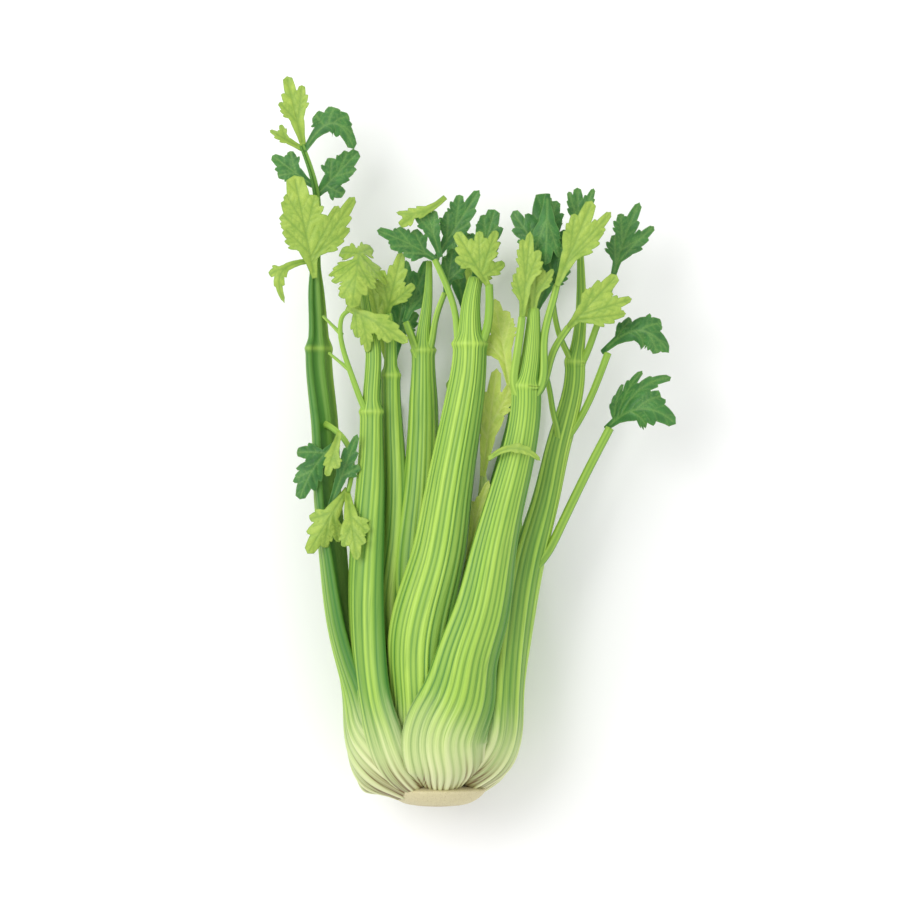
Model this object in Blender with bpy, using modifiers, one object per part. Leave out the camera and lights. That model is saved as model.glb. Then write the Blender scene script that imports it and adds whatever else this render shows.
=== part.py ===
"""Head of celery, trimmed at the root and lying on its back.

Units below are millimetres unless a name says otherwise; the finished part is in metres.
The root is at the -Y end, the leaves are at the +Y end, and the curved backs of the front
stalks face up (+Z).  Each stalk is a crescent lofted along its own curve, cut back where a
stalk outside it wraps over it.  Each leaf is a thin bent blade at the end of its leaf stem.
"""
import itertools
import math

import bmesh
import bpy
import numpy as np
from mathutils import Vector

MM = 0.001
AXIS_X, AXIS_Z = 1.0, 46.0       # the head's own axis where it meets the root plate
PLATE_PROFILE = [(0, 0), (12, 0.8), (20, 3.2), (25, 7.5), (24, 10), (16, 12.5), (8, 14.5), (0, 15.5)]
PLATE_STEPS = 28
GAP = 0.55                       # how far a stalk is cut back from the one that wraps over it
BACK_POINTS, HOLLOW_POINTS = 7, 5
RIM = 0.32                       # thickness at a stalk's edge, as a fraction of its middle
STEM_SIDES = 6
LEAST_HOLLOW = 0.35              # a hollow is at least this share as wide as its back
LEAST_LEFT = 0.6                 # share of a stalk that any one cut must leave
WELDS = (2e-5, 5e-6, 5e-7)       # metres within which points are joined, the loosest that works
LEAF_THICKNESS = 1.2
LEAF_POINTS = 16
LEAF_CENTRE = 0.34               # where a leaf's outline is measured from, as a share of its length
LEAF_NARROWEST = (0.16, 1.6)     # least reach of the outline: share of the length, and millimetres
LEAF_LEAST_TURN = 0.13           # radians kept between neighbouring outline points
LEAF_INNER_RING = 0.55           # share of the outline's reach
THICKEST, THIN_END = 10.0, 2.0   # a stalk's thickness: at most, and where it runs out to nothing
THICKENING = 0.45                # added thickness for each millimetre of width
FULL_CURL, OPENING = 82, 0.95    # degrees a back curls each way, less this for each millimetre of width
CURL_LIMITS = (42, 80)
JOINT_STEP, JOINT_SWELL = 3, 1.06    # a joint is this far above its shoulder, and this much wider

# How a stalk swells from the root: height, then reach and width as shares of the bulb's own.
BULB = [(10, 0.46, 0.58), (14, 0.63, 0.78), (20, 0.81, 0.94), (34, 0.95, 1.0), (56, 1.0, 0.92)]
BULB_TOP = 56

# Each stalk: height it starts at, the angles round the head (0 right, 90 up) at the root, half
# way up the bulb and at its top, its reach and width there, the way its back faces at its joint,
# then its stations above the bulb as height, x, z and width. A joint ends the first list, and the
# slimmer stem above it is the second.
STALKS = {
    "stalk_far_left": (10, (138, 165, 176), 43, 48, 226,
        [(88, -49, 48, 35), (130, -54, 47, 29), (160, -57, 46, 24), (200, -58, 45, 19), (238, -61, 44, 17)],
        [(245, -61, 44, 13), (268, -62, 45, 10), (284, -62, 46, 6), (322, -62, 46, 4), (344, -69, 46, 3)]),
    "stalk_left": (11, (128, 134, 142), 42, 26, 100,
        [(88, -36, 68, 23), (130, -36, 66, 20), (160, -34, 64, 16), (205, -33, 62, 12)],
        [(212, -33, 62, 9), (238, -32, 60, 8), (256, -35, 58, 5), (280, -38, 57, 3)]),
    "stalk_left_inner": (18, (136, 137, 138), 25, 20, 100,
        [(100, -25, 58, 20), (140, -22, 57, 16), (190, -22, 55, 12), (224, -23, 54, 10)],
        [(230, -23, 54, 7), (242, -23, 54, 6), (256, -24, 54, 4)]),
    "stalk_centre_inner": (21, (95, 95, 95), 18, 23, 92,
        [(108, -10, 62, 24), (160, -8, 60, 19), (210, -6, 58, 15), (237, -6, 57, 12)],
        [(243, -6, 57, 8), (262, -4, 56, 5), (283, -3, 55, 3)]),
    "stalk_centre": (15, (105, 106, 107), 33, 34, 92,
        [(88, -9, 77, 33), (130, 1, 76, 28), (160, 6, 76, 25), (210, 15, 75, 20), (240, 18, 74, 17)],
        [(247, 18, 74, 12), (264, 19, 73, 9), (274, 21, 72, 7)]),
    "stalk_front": (13, (78, 84, 74), 41, 44, 86,
        [(77, 17, 86, 33), (100, 24, 86, 29), (130, 30, 85, 24), (160, 37, 84, 20), (218, 47, 83, 15)],
        [(224, 48, 83, 11), (240, 50, 82, 9), (258, 51, 81, 6)]),
    "stalk_right": (13, (24, 20, 20), 41, 38, 70,
        [(88, 43, 60, 28), (130, 50, 58, 22), (160, 58, 56, 17), (190, 65, 54, 14), (231, 73, 52, 11)],
        [(238, 74, 52, 8), (270, 76, 50, 5), (297, 75, 48, 3)]),
    "stalk_heart": (18, (40, 40, 40), 14, 15, 85,
        [(88, 12, 58, 14), (130, 20, 58, 9), (165, 25, 60, 5), (174, 25, 61, 3)], []),
    "stalk_back_left": (11, (228, 228, 230), 41, 38, 270,
        [(88, -28, 11, 30), (120, -29, 7, 25), (160, -29, 6, 21), (208, -28, 6, 15)],
        [(214, -28, 7, 10), (230, -24, 9, 5)]),
    "stalk_back_centre": (11, (275, 275, 274), 40, 40, 270,
        [(88, 6, 6, 33), (130, 7, 6, 26), (170, 9, 6, 20), (219, 14, 6, 15)],
        [(225, 15, 7, 11), (240, 16, 8, 7), (258, 17, 11, 5)]),
    "stalk_back_right": (10, (350, 332, 322), 41, 44, 270,
        [(88, 37, 15, 32), (125, 37, 9, 25), (160, 37, 6, 19), (217, 46, 6, 14)],
        [(223, 47, 7, 10), (240, 50, 9, 7), (256, 51, 12, 5)]),
    "stalk_shoot": (18, (250, 250, 250), 12, 13, 262,
        [(88, -4, 33, 11), (120, -6, 33, 8), (150, -8, 34, 4)], []),
}

# Thin leaf stems: what each grows from, its points and its radius at both ends.
STEMS = {
    "far_left_shoot": ("stalk_far_left", [(-52, 196, 57), (-47, 191, 59), (-43, 180, 60),
                                          (-45, 164, 60)], 1.7, 1.2),
    "left_side": ("stalk_left", [(-36, 206, 63), (-43, 224, 63), (-47, 236, 62), (-49, 249, 63),
                                 (-47, 256, 64), (-44, 258, 65)], 1.7, 1.1),
    "left_twig_low": ("left_side", [(-44, 227, 63), (-49, 231, 61), (-55, 236, 59)], 0.9, 0.7),
    "left_twig_high": ("left_side", [(-48, 245, 62), (-53, 250, 61), (-58, 255, 58)], 0.9, 0.7),
    "centre_inner_left": ("stalk_centre_inner", [(-9, 236, 58), (-12, 244, 58), (-15, 252, 57)], 2.4, 1.9),
    "centre_inner_right": ("stalk_centre_inner", [(-3, 237, 58), (0, 252, 60), (5, 267, 62)], 1.9, 1.4),
    "centre_left": ("stalk_centre", [(13, 239, 74), (11, 252, 72), (7, 268, 70), (0, 284, 68)], 1.7, 1.6),
    "centre_right": ("stalk_centre", [(23, 239, 74), (28, 256, 75), (28, 271, 76)], 2.3, 2.0),
    "front_left": ("stalk_front", [(42, 216, 84), (42, 232, 85), (45, 254, 85)], 2.3, 1.9),
    "front_right": ("stalk_front", [(53, 216, 83), (56, 240, 81), (61, 263, 79), (63, 271, 79)], 2.4, 1.8),
    "front_far_right": ("stalk_front", [(53, 215, 82), (61, 236, 73), (69, 249, 69)], 2.0, 1.8),
    "right_inner": ("stalk_right", [(64, 192, 57), (61, 206, 62), (59, 218, 64), (57, 226, 64)], 1.7, 1.3),
    "right_left": ("stalk_right", [(71, 230, 53), (65, 244, 58), (61, 264, 61)], 1.7, 1.3),
    "right_right": ("stalk_right", [(76, 230, 52), (83, 247, 54), (89, 264, 55), (93, 276, 56)], 1.8, 1.6),
    "right_upper": ("stalk_right", [(69, 192, 54), (81, 213, 52), (90, 236, 51)], 1.7, 1.9),
    "right_lower": ("stalk_right", [(55, 128, 58), (64, 143, 55), (77, 170, 53), (91, 197, 52)], 2.4, 2.2),
}

# Leaf blades: base, tip, how far the midrib bows to its left and up, fold in degrees (up or, if
# negative, down), width of the middle lobe, how dark it is from 0 to 1, and its side lobes: start
# along the midrib, angle from it (left is positive), length and width, as shares of the leaf.
LEAVES = {
    "leaf_far_left_1": ((-69, 346, 46), (-77, 380, 50), 0, 2, 12, 9, 0.15,
        [(0.3, -20, 0.55, 0.2), (0.3, 30, 0.4, 0.15)]),
    "leaf_far_left_2": ((-72, 344, 46), (-86, 352, 49), 0, 1, 10, 4, 0.2,
        [(0.4, -40, 0.5, 0.2)]),
    "leaf_far_left_3": ((-66, 345, 48), (-42, 342, 50), 12, 3, -12, 10, 0.85,
        [(0.3, 100, 0.25, 0.2), (0.4, 70, 0.25, 0.2), (0.5, 50, 0.25, 0.2), (0.6, 15, 0.25, 0.15)]),
    "leaf_far_left_4": ((-66, 325, 45), (-85, 339, 43), 0, 1, 10, 9, 0.85,
        [(0.35, -40, 0.5, 0.25), (0.35, 45, 0.4, 0.25)]),
    "leaf_far_left_5": ((-61, 319, 45), (-40, 341, 44), 0, 1, 10, 11, 0.9,
        [(0.3, 40, 0.4, 0.25), (0.5, 20, 0.4, 0.2), (0.4, -30, 0.35, 0.2), (0.2, -75, 0.35, 0.25)]),
    "leaf_far_left_6": ((-63, 278, 53), (-73, 328, 58), 0, 2, 10, 17, 0.2,
        [(0.1, -45, 0.8, 0.17), (0.15, -40, 0.6, 0.14), (0.15, -65, 0.5, 0.14), (0.5, 20, 0.35, 0.18),
         (0.35, 35, 0.35, 0.18), (0.2, 35, 0.35, 0.18), (0.4, -25, 0.4, 0.2)]),
    "leaf_far_left_7": ((-66, 284, 51), (-78, 262, 56), -9, 3, -12, 5, 0.25,
        [(0.4, -40, 0.25, 0.15)]),
    "leaf_far_left_8": ((-55, 186, 57), (-70, 160, 62), -2, 2, -10, 11, 0.95,
        [(0.1, -60, 0.45, 0.25), (0.45, -35, 0.3, 0.2)]),
    "leaf_far_left_9": ((-50, 192, 69), (-56, 172, 72), 0, 1, 10, 6, 0.3,
        [(0.4, 35, 0.4, 0.2)]),
    "leaf_far_left_10": ((-53, 160, 60), (-40, 194, 68), 0, 1, 10, 7, 0.9,
        [(0.35, -40, 0.3, 0.15)]),
    "leaf_far_left_11": ((-47, 163, 60), (-66, 132, 62), 0, 5, -12, 11, 0.3,
        [(0.3, -40, 0.35, 0.18), (0.4, 20, 0.45, 0.18), (0.3, 40, 0.45, 0.18)]),
    "leaf_far_left_12": ((-45, 161, 61), (-40, 129, 75), 0, 6, 4, 9, 0.35,
        [(0.3, 35, 0.35, 0.2), (0.5, 25, 0.3, 0.15), (0.4, -25, 0.4, 0.15)]),
    "leaf_left_1": ((-39, 289, 60), (-43, 259, 72), 0, 8, -14, 13, 0.3,
        [(0.05, 55, 0.55, 0.22), (0.2, 35, 0.5, 0.2), (0.2, -40, 0.5, 0.2), (0.4, -20, 0.5, 0.2),
         (0.15, -60, 0.45, 0.2), (0.05, 140, 0.25, 0.2), (0.05, -110, 0.3, 0.2)]),
    "leaf_left_2": ((-43, 258, 66), (-14, 241, 69), 1, 2, -10, 9, 0.25,
        [(0.15, -50, 0.6, 0.2), (0.05, -60, 0.4, 0.15), (0.4, -20, 0.4, 0.2)]),
    "leaf_left_inner_1": ((-25, 257, 55), (-17, 288, 62), 0, 2, 10, 9, 0.35,
        [(0.1, 25, 0.6, 0.22), (0.1, -35, 0.55, 0.2)]),
    "leaf_centre_inner_1": ((-15, 254, 55), (-4, 284, 44), 0, 0, 10, 8, 0.9,
        [(0.2, 25, 0.75, 0.2), (0.1, -20, 0.5, 0.25)]),
    "leaf_centre_inner_2": ((6, 269, 62), (9, 290, 60), 0, 1, 10, 8, 0.8,
        [(0.2, -40, 0.55, 0.3), (0.3, 20, 0.45, 0.25)]),
    "leaf_centre_1": ((-1, 285, 68), (-30, 299, 72), -1, 1, 10, 8, 0.85,
        [(0.15, -35, 0.4, 0.22), (0.4, -25, 0.35, 0.2), (0.35, 25, 0.4, 0.18), (0.1, 25, 0.4, 0.2)]),
    "leaf_centre_2": ((2, 288, 72), (-5, 311, 75), 0, 1, 8, 7, 0.9,
        [(0.4, 25, 0.55, 0.22), (0.4, -20, 0.5, 0.2)]),
    "leaf_centre_3": ((3, 314, 76), (-20, 308, 80), 3, 2, -15, 5, 0.2,
        [(0.6, 40, 0.4, 0.2)]),
    "leaf_centre_4": ((2, 287, 66), (23, 320, 68), 0, 1, 10, 9, 0.9,
        [(0.2, 30, 0.4, 0.2), (0.4, 25, 0.45, 0.2), (0.3, -25, 0.3, 0.18)]),
    "leaf_centre_5": ((21, 277, 66), (31, 310, 62), 0, 1, 10, 12, 0.8,
        [(0.2, 45, 0.45, 0.25), (0.5, 20, 0.4, 0.2), (0.5, -20, 0.3, 0.2), (0.2, -30, 0.35, 0.2)]),
    "leaf_centre_6": ((26, 273, 77), (11, 298, 80), 0, 2, 8, 9, 0.2,
        [(0.15, -50, 0.8, 0.25), (0.1, -90, 0.45, 0.2), (0.2, -30, 0.7, 0.25), (0.3, 40, 0.4, 0.2)]),
    "leaf_front_1": ((38, 222, 70), (31, 264, 62), 0, 1, 10, 10, 0.05,
        [(0.2, 30, 0.5, 0.2), (0.4, -25, 0.35, 0.18), (0.5, -20, 0.35, 0.18)]),
    "leaf_front_2": ((45, 256, 85), (49, 298, 88), 0, 2, 10, 8, 0.4,
        [(0.1, 20, 0.4, 0.14), (0.4, 10, 0.5, 0.14), (0.3, -15, 0.5, 0.18)]),
    "leaf_front_3": ((51, 260, 82), (53, 284, 84), 0, 1, 10, 8, 0.35,
        [(0.2, -30, 0.7, 0.22)]),
    "leaf_front_4": ((62, 273, 78), (57, 318, 69), 3, 0, 10, 17, 0.95,
        [(0.3, 35, 0.6, 0.2), (0.4, -15, 0.55, 0.22)]),
    "leaf_front_5": ((58, 315, 79), (57, 281, 81), 0, 3, -15, 11, 0.9,
        [(0.3, 20, 0.65, 0.16), (0.3, -20, 0.6, 0.16)]),
    "leaf_front_6": ((64, 273, 81), (81, 314, 80), 0, 2, 10, 11, 0.25,
        [(0.3, 15, 0.5, 0.16), (0.25, -20, 0.75, 0.16), (0.2, -25, 0.6, 0.16)]),
    "leaf_front_7": ((70, 250, 69), (94, 276, 72), 0, 2, 10, 10, 0.2,
        [(0.2, -30, 0.8, 0.2), (0.1, -40, 0.75, 0.2), (0.3, 20, 0.35, 0.2)]),
    "leaf_right_1": ((75, 298, 48), (74, 322, 50), 0, 1, 10, 8, 0.85,
        [(0.2, 15, 0.75, 0.2), (0.2, -25, 0.85, 0.22)]),
    "leaf_right_2": ((93, 278, 57), (106, 314, 60), 1, 1, 10, 8, 0.85,
        [(0.1, -25, 0.75, 0.18), (0.3, -40, 0.4, 0.14), (0.4, 25, 0.4, 0.18), (0.1, 20, 0.4, 0.2)]),
    "leaf_right_3": ((90, 239, 52), (121, 236, 60), 10, 7, -14, 12, 0.9,
        [(0.1, 35, 0.3, 0.18), (0.5, 40, 0.3, 0.2), (0.4, -35, 0.35, 0.18), (0.6, -20, 0.35, 0.18)]),
    "leaf_right_4": ((91, 199, 53), (125, 199, 62), 8, 6, -12, 14, 0.9,
        [(0.15, 40, 0.75, 0.15), (0.1, 55, 0.6, 0.15), (0.05, 70, 0.45, 0.15), (0.3, -40, 0.35, 0.2),
         (0.4, 35, 0.35, 0.25)]),
    "leaf_heart_1": ((25, 175, 62), (32, 228, 66), 0, 1, 10, 10, 0.1,
        [(0.3, 30, 0.4, 0.15), (0.4, -20, 0.5, 0.15)]),
    "leaf_heart_2": ((30, 183, 89), (54, 180, 93), 5, 3, -8, 4, 0.15, []),
    "leaf_heart_3": ((17, 132, 65), (28, 170, 68), 1, 1, 10, 6, 0.05,
        [(0.4, 25, 0.3, 0.12)]),
    "leaf_back_left_1": ((-25, 233, 9), (-36, 284, 10), 0, 2, 10, 11, 0.5,
        [(0.3, 30, 0.4, 0.18), (0.3, -30, 0.35, 0.15)]),
    "leaf_back_left_2": ((-22, 232, 12), (-16, 274, 22), 0, 2, 10, 9, 0.6,
        [(0.3, -30, 0.4, 0.18)]),
    "leaf_back_centre_1": ((18, 261, 13), (26, 300, 22), 0, 2, 10, 11, 0.5,
        [(0.3, -30, 0.4, 0.18)]),
    "leaf_back_centre_2": ((15, 261, 10), (8, 297, 9), 0, 1, 10, 10, 0.6,
        [(0.3, 30, 0.4, 0.18)]),
    "leaf_back_right_1": ((49, 259, 13), (54, 305, 22), 0, 2, 10, 11, 0.5,
        [(0.3, -30, 0.35, 0.18)]),
    "leaf_back_right_2": ((53, 259, 12), (68, 298, 9), 0, 2, 10, 10, 0.6,
        [(0.3, -30, 0.4, 0.18)]),
    "leaf_shoot_1": ((-9, 152, 35), (-9, 178, 38), 0, 1, 10, 6, 0.05, []),
    "leaf_shoot_2": ((-7, 152, 33), (-3, 171, 30), 0, 1, 10, 5, 0.05, []),
}


def stalk_rows(name):
    """All the sections of a stalk: x, y, z, width, thickness, facing, curl."""
    root_y, angles, bulb_reach, bulb_width, joint_facing, below, above = STALKS[name]
    rows = []
    for height, reach_share, width_share in BULB:
        y = root_y + (BULB_TOP - root_y) * (height - BULB[0][0]) / (BULB_TOP - BULB[0][0])
        facing = np.interp((y - root_y) / (BULB_TOP - root_y), (0, 0.5, 1), angles)
        turn, reach = math.radians(facing), bulb_reach * reach_share
        x, z = AXIS_X + reach * math.cos(turn), AXIS_Z + reach * math.sin(turn)
        rows.append((x, y, z, bulb_width * width_share, facing))
    turned = (joint_facing - angles[2] + 180) % 360 - 180
    for y, x, z, width in below:
        rows.append((x, y, z, width, angles[2] + turned * (y - BULB_TOP) / (below[-1][0] - BULB_TOP)))
    if above:
        x, y, z, width, facing = rows[-1]
        rows[-1] = (x, y - JOINT_STEP, z, width, facing)
        rows.append((x, y, z, width * JOINT_SWELL, facing))
    rows += [(x, y, z, width, joint_facing) for y, x, z, width in above]
    rows = np.array(rows, dtype=float)
    width = rows[:, 3]
    thick = np.minimum(THICKEST, THIN_END + THICKENING * width)
    curl = np.clip(FULL_CURL - OPENING * width, *CURL_LIMITS)
    return np.column_stack([rows[:, :4], thick, rows[:, 4], curl])


# The stalks that lie outside each one and wrap over it.
OUTSIDE = {
    "stalk_far_left": [], "stalk_back_right": [],
    "stalk_front": ["stalk_far_left", "stalk_back_right"],
    "stalk_right": ["stalk_front", "stalk_back_right"],
    "stalk_left": ["stalk_front", "stalk_far_left"],
    "stalk_back_left": ["stalk_far_left"],
    "stalk_back_centre": ["stalk_back_right", "stalk_back_left"],
    "stalk_centre": ["stalk_front", "stalk_left", "stalk_far_left"],
    "stalk_left_inner": ["stalk_left", "stalk_far_left", "stalk_centre"],
    "stalk_centre_inner": ["stalk_centre", "stalk_front", "stalk_left_inner"],
    "stalk_heart": ["stalk_centre", "stalk_front", "stalk_right", "stalk_centre_inner"],
    "stalk_shoot": ["stalk_back_centre", "stalk_back_left", "stalk_centre_inner", "stalk_heart",
                    "stalk_left_inner"],
}

# Flesh colours, linear.
STALK_COLOUR = (0.36, 0.55, 0.13, 1.0)
INNER_COLOUR = (0.52, 0.66, 0.24, 1.0)
PLATE_COLOUR = (0.72, 0.66, 0.46, 1.0)
LEAF_LIGHT, LEAF_DARK = (0.33, 0.55, 0.08), (0.045, 0.17, 0.035)


def unit(vector):
    return vector / np.linalg.norm(vector)


def directions(points):
    """Unit tangent at each point of a path."""
    steps = np.diff(points, axis=0)
    steps /= np.linalg.norm(steps, axis=1)[:, None]
    ends = np.vstack([steps[:1], steps[:-1] + steps[1:], steps[-1:]])
    return ends / np.linalg.norm(ends, axis=1)[:, None]


def crescent(width, thick, curl):
    """Section of a stalk, (across, out) pairs: the round back, then the hollow front."""
    curl = math.radians(curl)
    radius = width / 2 / math.sin(curl)
    back = np.linspace(-1, 1, BACK_POINTS)
    front = np.linspace(1, -1, HOLLOW_POINTS)
    depth = thick * (RIM + (1 - RIM) * (1 - front ** 2) ** 0.75)
    spread = np.maximum(radius - depth, LEAST_HOLLOW * radius)
    across = np.concatenate([radius * np.sin(back * curl), spread * np.sin(front * curl)])
    out = np.concatenate([radius * np.cos(back * curl), (radius - depth) * np.cos(front * curl)])
    return across, out - (out.max() + out.min()) / 2


def stalk_rings(name):
    rows = stalk_rows(name)
    rings = []
    for row, along in zip(rows, directions(rows[:, :3])):
        facing = math.radians(row[5])
        out_way = np.array([math.cos(facing), 0, math.sin(facing)])
        out_way = unit(out_way - along * out_way.dot(along))
        side_way = np.cross(along, out_way)
        across, out = crescent(*row[3:5], row[6])
        rings.append(row[:3] + across[:, None] * side_way + out[:, None] * out_way)
    return rings


def stem_rings(name):
    """A round leaf stem, rooted inside the stalk it leaves."""
    parent, points, start, end = STEMS[name]
    points = np.array(points, dtype=float)
    if parent in STALKS:
        rows = stalk_rows(parent)
        root_y = points[0, 1] - (6 if points[1, 1] > points[0, 1] else -3)
        root = [np.interp(root_y, rows[:, 1], rows[:, k]) for k in (0, 1, 2)]
        points = np.vstack([root, points])
    rings = []
    turn = np.linspace(0, 2 * math.pi, STEM_SIDES, endpoint=False)
    for centre, along, radius in zip(points, directions(points), np.linspace(start, end, len(points))):
        up = unit(np.array([0, 0, 1.0]) - along * along[2])
        side = np.cross(along, up)
        rings.append(centre + radius * (np.sin(turn)[:, None] * side + np.cos(turn)[:, None] * up))
    return rings


def loft(rings):
    """Closed skin through equal rings, with both ends capped."""
    count = len(rings[0])
    faces = []
    for i in range(len(rings) - 1):
        for k in range(count):
            n = (k + 1) % count
            faces.append((i * count + k, i * count + n, (i + 1) * count + n, (i + 1) * count + k))
    last = (len(rings) - 1) * count
    faces.append(tuple(reversed(range(count))))
    faces.append(tuple(last + k for k in range(count)))
    return np.vstack(rings), faces


def material(name, colour, roughness):
    made = bpy.data.materials.new(name)
    made.use_nodes = True
    shader = made.node_tree.nodes["Principled BSDF"]
    shader.inputs["Base Color"].default_value = (*colour[:3], 1.0)
    shader.inputs["Roughness"].default_value = roughness
    shader.inputs["Metallic"].default_value = 0.0
    made.diffuse_color = (*colour[:3], 1.0)
    return made


def solid(name, points, faces, skin=None):
    """A mesh object from millimetre points, triangulated and facing outwards."""
    mesh = bpy.data.meshes.new(name)
    mesh.from_pydata([tuple(float(v) * MM for v in p) for p in points], [], faces)
    tidy(mesh)
    made = bpy.data.objects.new(name, mesh)
    if skin:
        mesh.materials.append(skin)
    celery.objects.link(made)
    return made


def tidy(mesh, weld=WELDS[0]):
    """Weld, triangulate, keep the largest body and face it outwards."""
    work = bmesh.new()
    work.from_mesh(mesh)
    bmesh.ops.remove_doubles(work, verts=work.verts, dist=weld)
    bmesh.ops.dissolve_degenerate(work, edges=work.edges, dist=weld)
    bmesh.ops.triangulate(work, faces=work.faces)
    work.faces.ensure_lookup_table()
    groups, seen = [], set()
    for face in work.faces:
        if face.index in seen:
            continue
        group, queue = [], [face]
        seen.add(face.index)
        while queue:
            one = queue.pop()
            group.append(one)
            for edge in one.edges:
                for other in edge.link_faces:
                    if other.index not in seen:
                        seen.add(other.index)
                        queue.append(other)
        groups.append(group)
    groups.sort(key=lambda group: sum(face.calc_area() for face in group))
    spare = [face for group in groups[:-1] for face in group]
    bmesh.ops.delete(work, geom=spare, context="FACES")
    loose = [vert for vert in work.verts if not vert.link_faces]
    bmesh.ops.delete(work, geom=loose, context="VERTS")
    bmesh.ops.recalc_face_normals(work, faces=work.faces)
    if work.calc_volume(signed=True) < 0:
        bmesh.ops.reverse_faces(work, faces=work.faces)
    work.to_mesh(mesh)
    work.free()
    mesh.update()


def volume_of(mesh):
    """Volume of a closed mesh, or 0 if any edge isn't between exactly two faces."""
    work = bmesh.new()
    work.from_mesh(mesh)
    closed = all(len(edge.link_faces) == 2 for edge in work.edges)
    volume = work.calc_volume(signed=True) if closed else 0.0
    work.free()
    return volume


def combine(target, other, operation, swell=0.0):
    """Join another solid to the target, or cut it away after swelling it a little."""
    tool = bpy.data.objects.new("tool", other.copy())
    tools.objects.link(tool)
    tool.hide_render = True
    tool.display_type = "WIRE"
    if swell:
        grow = tool.modifiers.new("grow", "DISPLACE")
        grow.strength = swell * MM
        grow.mid_level = 0.0
    before = volume_of(target.data)
    boolean = target.modifiers.new("combine", "BOOLEAN")
    boolean.operation = operation
    boolean.object = tool
    for solver, weld in itertools.product(("EXACT", "MANIFOLD"), WELDS):
        boolean.solver = solver
        graph = bpy.context.evaluated_depsgraph_get()
        mesh = bpy.data.meshes.new_from_object(target.evaluated_get(graph))
        tidy(mesh, weld)
        if volume_of(mesh) > LEAST_LEFT * before:
            break
        bpy.data.meshes.remove(mesh)
    else:
        raise RuntimeError("no sound result for " + target.name)
    target.modifiers.clear()
    old = target.data
    target.data = mesh
    bpy.data.meshes.remove(old)
    bpy.data.objects.remove(tool)


def leaf_frame(leaf):
    """Curve of the midrib and the leaf's side direction."""
    base, tip = np.array(leaf[0], dtype=float), np.array(leaf[1], dtype=float)
    chord = tip - base
    left = unit(np.array([-chord[1], chord[0], 0.0]))
    bend = base / 2 + tip / 2 + 2 * (leaf[2] * left + leaf[3] * np.array([0, 0, 1.0]))

    def curve(s):
        s = np.asarray(s, dtype=float)[:, None]
        t = np.clip(s, 0, 1)
        point = (1 - t) ** 2 * base + 2 * t * (1 - t) * bend + t ** 2 * tip
        slope = 2 * (1 - t) * (bend - base) + 2 * t * (tip - bend)
        return point + (s - t) * slope, slope

    return curve


def lobe_reach(direction, origin, lobe):
    """How far a ray in the leaf's plane runs before it leaves a pointed lobe."""
    (start, angle, length, width) = lobe
    heading = np.array([math.cos(angle), math.sin(angle)])
    along = np.linspace(0.02, 1, 24)
    half = width / 2 * np.sin(math.pi * along ** 1.1) * (along < 1)
    best = 0.0
    for side in (-1, 1):
        edge = start + np.outer(along * length, heading) + np.outer(side * half, (-heading[1], heading[0]))
        ray = edge - origin
        reach = ray @ direction
        miss = np.abs(ray @ np.array([-direction[1], direction[0]]))
        near = reach[(miss < 0.09 * np.abs(reach) + 0.3) & (reach > 0)]
        best = max(best, near.max(initial=0.0))
    return best


def leaf_outline(leaf, length):
    """Plain outline of a blade round a centre near its base, (along, left) pairs."""
    lobes = [((0.0, 0.0), 0.0, length, leaf[5])]
    for start, angle, reach, width in leaf[7]:
        lobes.append(((start * length, 0.0), math.radians(angle), reach * length, width * length))
    centre = np.array([LEAF_CENTRE * length, 0.0])
    tips = [np.array(start) + reach * np.array([math.cos(angle), math.sin(angle)])
            for start, angle, reach, _ in lobes]
    angles = sorted([math.atan2(*(tip - centre)[::-1]) for tip in tips] + [math.pi])
    while len(angles) < LEAF_POINTS:
        following = angles[1:] + angles[:1]
        gaps = [(after - angle) % (2 * math.pi) or 2 * math.pi for angle, after in zip(angles, following)]
        widest = int(np.argmax(gaps))
        middle = angles[widest] + gaps[widest] / 2
        angles = sorted(angles + [(middle + math.pi) % (2 * math.pi) - math.pi])
    kept = [angles[0]]
    for angle in angles[1:]:
        if angle - kept[-1] > LEAF_LEAST_TURN:
            kept.append(angle)
    points = []
    least = max(LEAF_NARROWEST[0] * length, LEAF_NARROWEST[1])
    for angle in kept:
        way = np.array([math.cos(angle), math.sin(angle)])
        reach = max(lobe_reach(way, centre, lobe) for lobe in lobes)
        points.append(centre + max(reach, least) * way)
    return centre, np.array(points)


def leaf_solid(name, leaf, skin):
    """A thin blade bent along its midrib and folded along it."""
    curve = leaf_frame(leaf)
    span = curve(np.linspace(0, 1, 20))[0]
    length = np.linalg.norm(np.diff(span, axis=0), axis=1).sum()
    centre, outline = leaf_outline(leaf, length)
    flat = np.vstack([[centre], centre + LEAF_INNER_RING * (outline - centre), outline])
    point, slope = curve(flat[:, 0] / length)
    slope = slope / np.linalg.norm(slope, axis=1)[:, None]
    chord = np.array(leaf[1], dtype=float) - leaf[0]
    left = unit(np.array([-chord[1], chord[0], 0.0]))
    left = left - slope * (slope @ left)[:, None]
    left /= np.linalg.norm(left, axis=1)[:, None]
    up = np.cross(slope, left)
    fold = math.radians(leaf[4])
    across = flat[:, 1:2]
    middle = point + across * math.cos(fold) * left + np.abs(across) * math.sin(fold) * up
    half = LEAF_THICKNESS / 2
    count, total = len(outline), len(flat)
    faces = []
    for k in range(count):
        n = (k + 1) % count
        a, b, c, d = 1 + k, 1 + n, 1 + count + k, 1 + count + n
        top = [(0, a, b), (a, c, b), (b, c, d)]
        faces += top + [tuple(total + v for v in reversed(face)) for face in top]
        faces += [(c, total + c, d), (d, total + c, total + d)]
    return solid(name, np.vstack([middle + half * up, middle - half * up]), faces, skin)


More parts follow.
